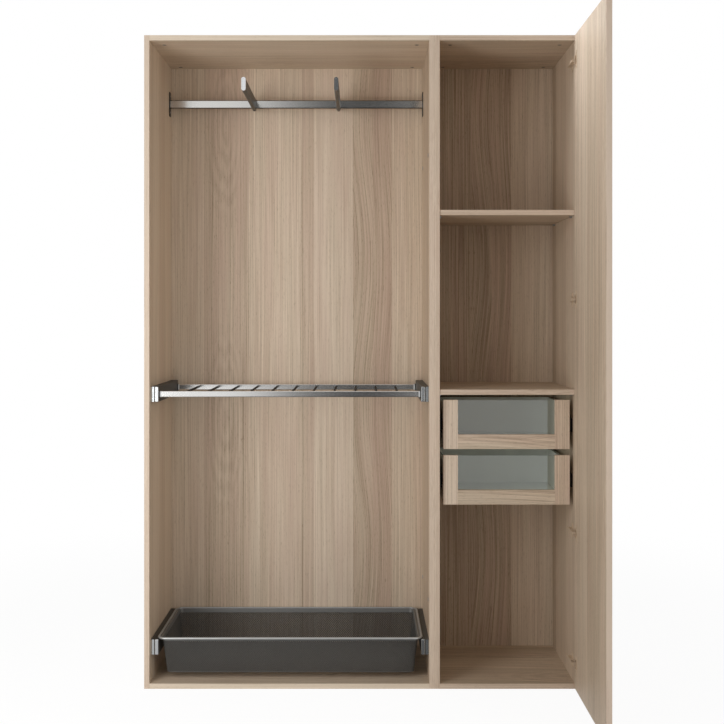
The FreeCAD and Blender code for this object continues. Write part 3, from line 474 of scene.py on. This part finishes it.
# runs a tree with these input values and keeps the result as a plain mesh on one body
def growPiece(name, tree, values, body):
    starts = [value for value in values.values() if isinstance(value, bpy.types.Mesh)]
    piece = bpy.data.objects.new(name, starts[0] if starts else bpy.data.meshes.new(name + "Start"))
    bpy.context.scene.collection.objects.link(piece)
    modifier = piece.modifiers.new("grow", "NODES")
    modifier.node_group = tree
    for socket in tree.interface.items_tree:
        if socket.in_out == "INPUT" and socket.socket_type != "NodeSocketGeometry":
            modifier[socket.identifier] = values[socket.name]
    graph = bpy.context.evaluated_depsgraph_get()
    mesh = bpy.data.meshes.new_from_object(piece.evaluated_get(graph), depsgraph=graph)
    piece.modifiers.clear()
    piece.data = mesh
    mesh.name = name
    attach(piece, body)
    print(name, "has", sum(len(face.vertices) - 2 for face in mesh.polygons), "triangles")
    return piece


# Basket: one tub of crossed wire strands that wind up its tapered walls, and a strand floor cut by the
# lowest ring.
basketMesh = {
    "topLength": 890.8, "topDepth": 378.8, "baseLength": 862.8, "baseDepth": 350.8,
    "topHeight": 165, "baseHeight": 41.8, "meshTop": 153.5, "cornerRadius": 17, "cornerSteps": 8,
    "strands": 316, "steps": 17, "strandRadius": 1.1, "strandSides": 3, "ringRadius": 1.2, "ringSides": 6,
    "lean": 159 / 2515,  # share of the way round that a strand winds from the base to the top
    # floor strands lie along floorAim and are cut by rays that start floorReach away
    "floorStrands": 178, "floorPitch": 8, "floorAim": (4.0, 2.5), "floorReach": 600, "floorRay": 2000,
    "centre": (bayMiddle, -1, 0),
}


def makeBasket():
    sizes = basketMesh
    values = inputsFrom(
        sizes,
        ("topLength", "topDepth", "baseLength", "baseDepth", "topHeight", "baseHeight", "cornerRadius",
         "strandRadius", "ringRadius", "floorPitch", "floorRay"),
        ("cornerSteps", "strands", "steps", "lean", "strandSides", "ringSides", "floorStrands"))
    values.update({
        "strandSpacing": 1 / sizes["strands"],
        "meshShare": (sizes["meshTop"] - sizes["baseHeight"]) / (sizes["topHeight"] - sizes["baseHeight"]),
        "floorStart": -sizes["floorPitch"] * (sizes["floorStrands"] - 1) / 2 * mm,
        "finish": meshSteel,
    })
    tree, given = newTree("basketWeave", values)

    def outline(end):
        sides = add(tree, "GeometryNodeCurvePrimitiveQuadrilateral", {
            "Width": given[end + "Length"], "Height": given[end + "Depth"]})
        rounded = add(tree, "GeometryNodeFilletCurve", {
            "Curve": sides, "Count": given["cornerSteps"], "Radius": given["cornerRadius"]}, mode="POLY")
        lift = add(tree, "ShaderNodeCombineXYZ", {"Z": given[end + "Height"]})
        return add(tree, "GeometryNodeTransform", {"Geometry": rounded, "Translation": lift})

    # one upright stick per strand, side by side
    def sticks(count, start, spacing, low, high, steps):
        offset = add(tree, "ShaderNodeCombineXYZ", {"X": spacing})
        begin = add(tree, "ShaderNodeCombineXYZ", {"X": start})
        row = add(tree, "GeometryNodeMeshLine", {"Count": count, "Start Location": begin, "Offset": offset},
                  mode="OFFSET", count_mode="TOTAL")
        foot = add(tree, "ShaderNodeCombineXYZ", {"Y": low})
        head = add(tree, "ShaderNodeCombineXYZ", {"Y": high})
        stick = add(tree, "GeometryNodeCurvePrimitiveLine", {"Start": foot, "End": head})
        divided = add(tree, "GeometryNodeResampleCurve", {"Curve": stick, "Count": steps})
        placed = add(tree, "GeometryNodeInstanceOnPoints", {"Points": row, "Instance": divided})
        return add(tree, "GeometryNodeRealizeInstances", {0: placed})

    top, base = outline("top"), outline("base")
    position = add(tree, "GeometryNodeInputPosition")
    parts = add(tree, "ShaderNodeSeparateXYZ", {0: position})
    along, up = parts.outputs["X"], parts.outputs["Y"]
    # wall sticks stand along one unit, which is laid once round the tub, and rise from base 0 to top 1
    wallSticks = sticks(
        given["strands"], 0.0, given["strandSpacing"], 0.0, given["meshShare"], given["steps"])
    strands = []
    for way in (1, -1):
        lean = add(tree, "ShaderNodeMath", {0: given["lean"], 1: way}, operation="MULTIPLY")
        turned = add(tree, "ShaderNodeMath", {0: up, 1: lean, 2: along}, operation="MULTIPLY_ADD")
        share = add(tree, "ShaderNodeMath", {0: turned}, operation="FRACT")
        low, high = [add(tree, "GeometryNodeSampleCurve", {"Curves": end, "Factor": share},
                         mode="FACTOR").outputs["Position"] for end in (base, top)]
        between = add(tree, "ShaderNodeMix", {0: up, 4: low, 5: high}, data_type="VECTOR").outputs[1]
        strands.append(add(tree, "GeometryNodeSetPosition", {"Geometry": wallSticks, "Position": between}))

    ringProfile = add(tree, "GeometryNodeCurvePrimitiveCircle", {
        "Resolution": given["ringSides"], "Radius": given["ringRadius"]})
    ring = add(tree, "GeometryNodeCurveToMesh", {"Curve": base, "Profile Curve": ringProfile})
    # each floor strand is a line through (x, 0), cut where it meets the ring from outside at both ends
    floorSticks = sticks(given["floorStrands"], given["floorStart"], given["floorPitch"], -1.0, 1.0, 2)
    aim = Vector(sizes["floorAim"]).normalized()
    reach = sizes["floorReach"] * mm
    for way in (1, -1):
        fromX = add(tree, "ShaderNodeMath", {0: up, 1: reach * aim.x * way, 2: along},
                    operation="MULTIPLY_ADD")
        fromY = add(tree, "ShaderNodeMath", {0: up, 1: reach * aim.y}, operation="MULTIPLY")
        outside = add(tree, "ShaderNodeCombineXYZ", {"X": fromX, "Y": fromY, "Z": given["baseHeight"]})
        inward = add(tree, "ShaderNodeVectorMath", {0: (-aim.x * way, -aim.y, 0), "Scale": up},
                     operation="SCALE")
        cut = add(tree, "GeometryNodeRaycast", {
            "Target Geometry": ring, "Source Position": outside, "Ray Direction": inward,
            "Ray Length": given["floorRay"]})
        missed = add(tree, "FunctionNodeBooleanMath", {0: cut.outputs["Is Hit"]}, operation="NOT")
        kept = add(tree, "GeometryNodeDeleteGeometry", {"Geometry": floorSticks, "Selection": missed})
        depth = add(tree, "ShaderNodeVectorMath", {0: inward, "Scale": given["ringRadius"]},
                    operation="SCALE")
        stop = add(tree, "ShaderNodeVectorMath", {0: cut.outputs["Hit Position"], 1: depth})
        strands.append(add(tree, "GeometryNodeSetPosition", {"Geometry": kept, "Position": stop}))

    together = add(tree, "GeometryNodeJoinGeometry", {0: strands})
    wire = add(tree, "GeometryNodeCurvePrimitiveCircle", {
        "Resolution": given["strandSides"], "Radius": given["strandRadius"]})
    weave = add(tree, "GeometryNodeCurveToMesh", {"Curve": together, "Profile Curve": wire})
    whole = add(tree, "GeometryNodeJoinGeometry", {0: [weave, ring]})
    endTree(tree, given, whole)
    basket = growPiece("basket_weave", tree, values, "basket")
    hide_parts("basket_tub")


makeBasket()

# Basket lip: a sheet band that holds the top of the mesh and turns out over the slides, with a round bead
basketLip = {
    "length": 892, "depth": 380, "cornerRadius": 17, "cornerSteps": 10, "taper": 14 / 124, "sharpAngle": 40,
    "bandFoot": 152.5, "crest": 167.6, "sheet": 1.3, "turn": 2.4, "turnSteps": (20, 45, 70, 90, 115, 140),
    "groove": 164.9, "grooveShare": 1.9, "beadReach": 11.8, "beadOverlap": 1,
    "beadHeight": 165.4, "beadRadius": 3.9, "beadSteps": 14, "centre": basketMesh["centre"],
}


# sweeps a closed section round the basket's outline; each point of it is a reach outwards and a height
def sweepLip(name, section, finish):
    outline = bpy.data.meshes.new(name + "Section")
    outline.from_pydata([(out * mm, -height * mm, 0) for out, height in section],
                        [(spot, (spot + 1) % len(section)) for spot in range(len(section))], [])
    values = {"section": outline}
    values.update(inputsFrom(basketLip, ("length", "depth", "cornerRadius"), ("cornerSteps",)))
    values.update({"sharpAngle": math.radians(basketLip["sharpAngle"]), "finish": finish})
    tree, given = newTree(name, values)
    sides = add(tree, "GeometryNodeCurvePrimitiveQuadrilateral", {
        "Width": given["length"], "Height": given["depth"]})
    rounded = add(tree, "GeometryNodeFilletCurve", {
        "Curve": sides, "Count": given["cornerSteps"], "Radius": given["cornerRadius"]}, mode="POLY")
    level = add(tree, "GeometryNodeSetCurveNormal", {"Curve": rounded}, mode="Z_UP")
    profile = add(tree, "GeometryNodeMeshToCurve", {"Mesh": given["section"]})
    swept = add(tree, "GeometryNodeCurveToMesh", {"Curve": level, "Profile Curve": profile})
    smooth = add(tree, "GeometryNodeSetShadeSmooth", {0: swept})
    fold = add(tree, "GeometryNodeInputMeshEdgeAngle")
    sharp = add(tree, "FunctionNodeCompare", {0: fold, 1: given["sharpAngle"]}, operation="GREATER_THAN")
    creased = add(tree, "GeometryNodeSetShadeSmooth", {
        "Geometry": smooth, "Selection": sharp, "Shade Smooth": False}, domain="EDGE")
    endTree(tree, given, creased)
    return growPiece(name, tree, values, "basket")


def makeBasketLip():
    sizes = basketLip
    foot, crest, groove, sheet, turn, beadReach, beadRadius = [sizes[key] for key in (
        "bandFoot", "crest", "groove", "sheet", "turn", "beadReach", "beadRadius")]
    lean = (crest - foot) * sizes["taper"]
    end = beadReach - sizes["beadOverlap"]
    # up the inner face, over the crest, out along the groove to the bead, and back underneath
    upper = [(-sheet - lean, foot), (-sheet, crest - turn)]
    for step in sizes["turnSteps"]:
        bend = math.radians(step)
        upper.append((-sheet + turn * (1 - math.cos(bend)), crest - turn + turn * math.sin(bend)))
    upper += [(turn * sizes["grooveShare"], groove), (end, groove)]
    under = [(end, groove - sheet), (turn, groove - sheet), (0, groove - turn), (-lean, foot)]
    band = sweepLip("basket_lip", upper + under, rimSteel)
    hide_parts("basket_rim")
    bead = []
    for step in range(sizes["beadSteps"]):
        bend = math.tau * step / sizes["beadSteps"]
        bead.append((beadReach + beadRadius * math.cos(bend),
                     sizes["beadHeight"] - beadRadius * math.sin(bend)))
    sweepLip("basket_bead", bead, beadSteel)


makeBasketLip()

# Cross-recess screws: a domed head with a cross sunk in it on a plain shank
crossScrew = {
    "headRadius": 3.8, "headHeight": 1.8, "headSteps": 12, "headRings": 8,
    "crossLength": 4.6, "crossWidth": 1.1, "crossDepth": 1.1, "shankRadius": 2, "shankSteps": 6,
}
hingeHeights = (92, 540, 1340, 2158)
# for each group: where the heads meet their plates across the front and the way they face, how far in they
# sit, the middle heights of their pairs, the spacing of a pair, and the length of the shank
screwGroups = {
    "rail_screws": {
        "body": "carcass", "sides": ((-729, 1), (229, -1)), "depth": 176, "middles": (railHeight,),
        "spacing": 61, "length": 15},
    "hinge_plate_screws": {
        "body": "carcass", "sides": ((729.5, -1),), "depth": -193, "middles": hingeHeights,
        "spacing": 32, "length": 14.5},
    "hinge_cup_screws": {
        "body": "door", "sides": ((729.8, -1),), "depth": -266.5, "middles": hingeHeights,
        "spacing": 45, "length": 12.2},
}


def makeScrews(node, body, sides, depth, middles, spacing, length):
    sizes = crossScrew
    heights = [middle + drop for middle in middles for drop in (-spacing / 2, spacing / 2)]
    spots = [(x, depth, height, way) for x, way in sides for height in heights]
    seats = bpy.data.meshes.new(node + "Seats")
    seats.from_pydata([Vector(spot[:3]) * mm for spot in spots], [], [])
    ways = seats.attributes.new("facing", "FLOAT_VECTOR", "POINT")
    for way, spot in zip(ways.data, spots):
        way.vector = (spot[3], 0, 0)

    # the dome is the part of a ball that stands above the seat; a block wider than the ball cuts off the rest
    headRadius, headHeight, crossLength, crossWidth, crossDepth, shankRadius = [sizes[key] * mm for key in (
        "headRadius", "headHeight", "crossLength", "crossWidth", "crossDepth", "shankRadius")]
    ballRadius = (headHeight ** 2 + headRadius ** 2) / (2 * headHeight)
    blockWidth = 3 * ballRadius
    values = {
        "seats": seats, "headSteps": sizes["headSteps"], "headRings": sizes["headRings"],
        "ballRadius": ballRadius, "ballPlace": (0.0, 0.0, headHeight - ballRadius),
        "blockSize": (blockWidth, blockWidth, blockWidth), "blockPlace": (0.0, 0.0, -blockWidth / 2),
        "crossSize": (crossLength, crossWidth, headHeight),
        "turnedSize": (crossWidth, crossLength, headHeight),
        "crossPlace": (0.0, 0.0, headHeight / 2 + headHeight - crossDepth),
        "shankSteps": sizes["shankSteps"], "shankRadius": shankRadius, "shankLength": length * mm,
        "shankPlace": (0.0, 0.0, -length / 2 * mm), "finish": wearing.get(node, zinc),
    }
    tree, given = newTree(node, values)
    ball = add(tree, "GeometryNodeMeshUVSphere", {
        "Segments": given["headSteps"], "Rings": given["headRings"], "Radius": given["ballRadius"]})
    dome = add(tree, "GeometryNodeTransform", {"Geometry": ball, "Translation": given["ballPlace"]})
    cutters = []
    for size, place in (
            ("blockSize", "blockPlace"), ("crossSize", "crossPlace"), ("turnedSize", "crossPlace")):
        block = add(tree, "GeometryNodeMeshCube", {"Size": given[size]})
        cutters.append(add(tree, "GeometryNodeTransform", {"Geometry": block, "Translation": given[place]}))
    head = add(tree, "GeometryNodeMeshBoolean", {0: dome, 1: cutters}, operation="DIFFERENCE",
               solver="MANIFOLD")
    shank = add(tree, "GeometryNodeMeshCylinder", {
        "Vertices": given["shankSteps"], "Radius": given["shankRadius"], "Depth": given["shankLength"]})
    hung = add(tree, "GeometryNodeTransform", {"Geometry": shank, "Translation": given["shankPlace"]})
    screw = add(tree, "GeometryNodeJoinGeometry", {0: [head, hung]})
    facing = add(tree, "GeometryNodeInputNamedAttribute", {"Name": "facing"}, data_type="FLOAT_VECTOR")
    turn = add(tree, "FunctionNodeAlignRotationToVector", {"Vector": facing}, axis="Z")
    placed = add(tree, "GeometryNodeInstanceOnPoints", {
        "Points": given["seats"], "Instance": screw, "Rotation": turn})
    endTree(tree, given, placed)
    screws = growPiece(node + "_crossed", tree, values, body)
    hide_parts(node)


for node, group in screwGroups.items():
    makeScrews(node, **group)

# bright end plates on the moving half of the four pull-out slides, with rounded edges
endPlate = {
    "inner": 455.3, "outer": 467.8, "proud": 1.6, "depth": 3,
    "round": 1.4, "roundSteps": 3, "roundShape": 0.5,  # 0.5 is a quarter circle
}


def makeEndPlates(name, body, node):
    low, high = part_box(node)
    builder = bmesh.new()
    for side in (-1, 1):
        spans = sorted(bayMiddle + side * endPlate[reach] for reach in ("inner", "outer"))
        for corner in bmesh.ops.create_cube(builder, size=1.0)["verts"]:
            inset = (endPlate["depth"] if corner.co.y > 0 else 0) - endPlate["proud"]
            corner.co = Vector((
                spans[corner.co.x > 0] * mm, low.y + inset * mm, high.z if corner.co.z > 0 else low.z))
    bmesh.ops.bevel(builder, geom=builder.edges[:], offset=endPlate["round"] * mm,
                    segments=endPlate["roundSteps"], profile=endPlate["roundShape"], affect="EDGES")
    mesh = bpy.data.meshes.new(name)
    builder.to_mesh(mesh)
    builder.free()
    mesh.materials.append(endZinc)
    plates = bpy.data.objects.new(name, mesh)
    bpy.context.scene.collection.objects.link(plates)
    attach(plates, body)


makeEndPlates("trouser_slide_ends", "trouser_rack", "trouser_slides")
makeEndPlates("basket_slide_ends", "basket", "basket_slides")
print("slide ends made")

# studio: soft light from all round, large soft lights at the left and right front, a small one over the
# door's top, a pale floor, a white background, and a dark screen with a window in it that only shiny
# surfaces see; sizes and places are in metres
studio = {
    # each lamp's place, aim, size, power, spread and colour
    "lamps": {
        "softbox": ((-1.65, -2.05, 1.3), (-0.4, 0.0, 1.15), (1.1, 2.2), 30, 180, "#ffffff"),
        "fill": ((3.0, -2.8, 1.4), (-0.5, 0.0, 1.15), (1.4, 2.2), 22, 180, "#ffffff"),
        "doorLight": ((0.12, -0.36, 2.8), (0.74, -0.5, 2.1), (0.36, 0.2), 1.3, 64, "#f0f6ff"),
    },
    "ambient": 0.37,
    "floorSize": 40.0, "floorHeight": -0.0005, "floorGlow": 0.93, "floorShare": 0.1, "floorGrey": 0.8,
    "floorFade": (1.3, 3.2),
    "screenSide": (-3.0, 4.0), "screenBack": -4.6, "screenTop": 5.0, "screenFoot": (-0.24, 0.002),
    # how dark the screen is at places across it; its foot is at least footShade dark
    "screenShades": (
        (-3.0, 0.8), (-1.95, 0.4), (-1.6, 0.0), (-0.95, 0.0), (-0.5, 0.74), (-0.1, 0.96), (0.15, 0.95),
        (0.4, 0.84), (0.56, 0.9), (0.7, 0.0)),
    "footShade": 0.25, "screenGrey": 0.03,
}
white = (1.0, 1.0, 1.0, 1.0)


# 1 for rays that show the background: what the camera, shiny surfaces and glass see
def shownRays(tree):
    path = add(tree, "ShaderNodeLightPath")
    shown = path.outputs["Is Camera Ray"]
    for ray in ("Is Glossy Ray", "Is Transmission Ray"):
        shown = add(tree, "ShaderNodeMath", {0: shown, 1: path.outputs[ray]}, operation="MAXIMUM")
    return shown


def stagePlane(name, corners):
    mesh = bpy.data.meshes.new(name)
    mesh.from_pydata(corners, [], [(0, 1, 2, 3)])
    plane = bpy.data.objects.new(name, mesh)
    bpy.context.scene.collection.objects.link(plane)
    material = bpy.data.materials.new(name)
    material.use_nodes = True
    material.node_tree.nodes.clear()
    mesh.materials.append(material)
    return plane, material.node_tree


def makeLamps():
    for name, (place, aim, size, power, spread, hexCode) in studio["lamps"].items():
        light = bpy.data.lights.new(name, "AREA")
        light.shape = "RECTANGLE"
        light.size, light.size_y = size
        light.energy = power
        light.spread = math.radians(spread)
        light.color = linear(hexCode)[:3]
        lamp = bpy.data.objects.new(name, light)
        lamp.location = place
        lamp.rotation_euler = (Vector(aim) - Vector(place)).to_track_quat("-Z", "Y").to_euler()
        bpy.context.scene.collection.objects.link(lamp)


def makeWorld():
    world = bpy.data.worlds.new("studioWorld")
    world.use_nodes = True
    tree = world.node_tree
    tree.nodes.clear()
    ambient = add(tree, "ShaderNodeBackground", {"Color": white, "Strength": studio["ambient"]})
    plain = add(tree, "ShaderNodeBackground", {"Color": white, "Strength": 1.0})
    mixed = add(tree, "ShaderNodeMixShader", {0: shownRays(tree), 1: ambient, 2: plain})
    add(tree, "ShaderNodeOutputWorld", {0: mixed})
    bpy.context.scene.world = world


# the floor fades to plain white away from the object, so that no horizon shows
def makeFloor():
    half, height = studio["floorSize"] / 2, studio["floorHeight"]
    tree = stagePlane("paleFloor", [(-half, -half, height), (half, -half, height),
                                    (half, half, height), (-half, half, height)])[1]
    coords = add(tree, "ShaderNodeTexCoord")
    reach = add(tree, "ShaderNodeVectorMath", {0: coords.outputs["Object"]}, operation="LENGTH")
    begin, full = studio["floorFade"]
    fade = add(tree, "ShaderNodeMapRange", {
        "Value": reach.outputs["Value"], "From Min": begin, "From Max": full},
        interpolation_type="SMOOTHSTEP")
    matt = add(tree, "ShaderNodeBsdfDiffuse", {"Color": (studio["floorGrey"],) * 3 + (1,)})
    faint = add(tree, "ShaderNodeBsdfDiffuse", {"Color": (studio["floorShare"],) * 3 + (1,)})
    glow = add(tree, "ShaderNodeEmission", {"Color": white, "Strength": studio["floorGlow"]})
    near = add(tree, "ShaderNodeAddShader", {0: faint, 1: glow})
    far = add(tree, "ShaderNodeEmission", {"Color": white, "Strength": 1.0})
    seen = add(tree, "ShaderNodeMixShader", {0: fade, 1: near, 2: far})
    mixed = add(tree, "ShaderNodeMixShader", {0: shownRays(tree), 1: matt, 2: seen})
    add(tree, "ShaderNodeOutputMaterial", {0: mixed})


# the screen stands behind the camera and its foot lies on the floor; the shade follows its width
def makeScreen():
    (x0, x1), back, (foot, low) = studio["screenSide"], studio["screenBack"], studio["screenFoot"]
    top = studio["screenTop"]
    for name, least, farEdge in (
            ("darkScreen", 0.0, ((x1, back, top), (x0, back, top))),
            ("darkScreenFoot", studio["footShade"], ((x1, foot, low), (x0, foot, low)))):
        plane, tree = stagePlane(name, [(x0, back, low), (x1, back, low), *farEdge])
        coords = add(tree, "ShaderNodeTexCoord")
        parts = add(tree, "ShaderNodeSeparateXYZ", {0: coords.outputs["Object"]})
        width = add(tree, "ShaderNodeMapRange", {"Value": parts.outputs["X"], "From Min": x0, "From Max": x1})
        shade = add(tree, "ShaderNodeValToRGB", {0: width})
        setStops(shade, [((spot - x0) / (x1 - x0), (max(value, least),) * 3 + (1,))
                         for spot, value in studio["screenShades"]])
        clear = add(tree, "ShaderNodeBsdfTransparent")
        dark = add(tree, "ShaderNodeEmission", {"Color": (studio["screenGrey"],) * 3 + (1,)})
        mixed = add(tree, "ShaderNodeMixShader", {0: shade, 1: clear, 2: dark})
        add(tree, "ShaderNodeOutputMaterial", {0: mixed})
        plane.visible_camera = plane.visible_diffuse = False
        plane.visible_transmission = plane.visible_shadow = False


makeLamps()
makeWorld()
makeFloor()
makeScreen()
print("studio made")

# camera: level, straight at the front, with the picture moved down instead of the lens tilted
cameraSizes = {"distance": 4.064, "height": 1.2845, "lens": 55.39, "shiftY": -0.064}
camera = bpy.data.cameras.new("camera")
camera.lens = cameraSizes["lens"]
camera.shift_y = cameraSizes["shiftY"]
viewer = bpy.data.objects.new("camera", camera)
viewer.location = (0, -cameraSizes["distance"], cameraSizes["height"])
viewer.rotation_euler = (math.radians(90), 0, 0)
bpy.context.scene.collection.objects.link(viewer)
bpy.context.scene.camera = viewer
bpy.context.scene.view_settings.view_transform = "Standard"
print("camera set")
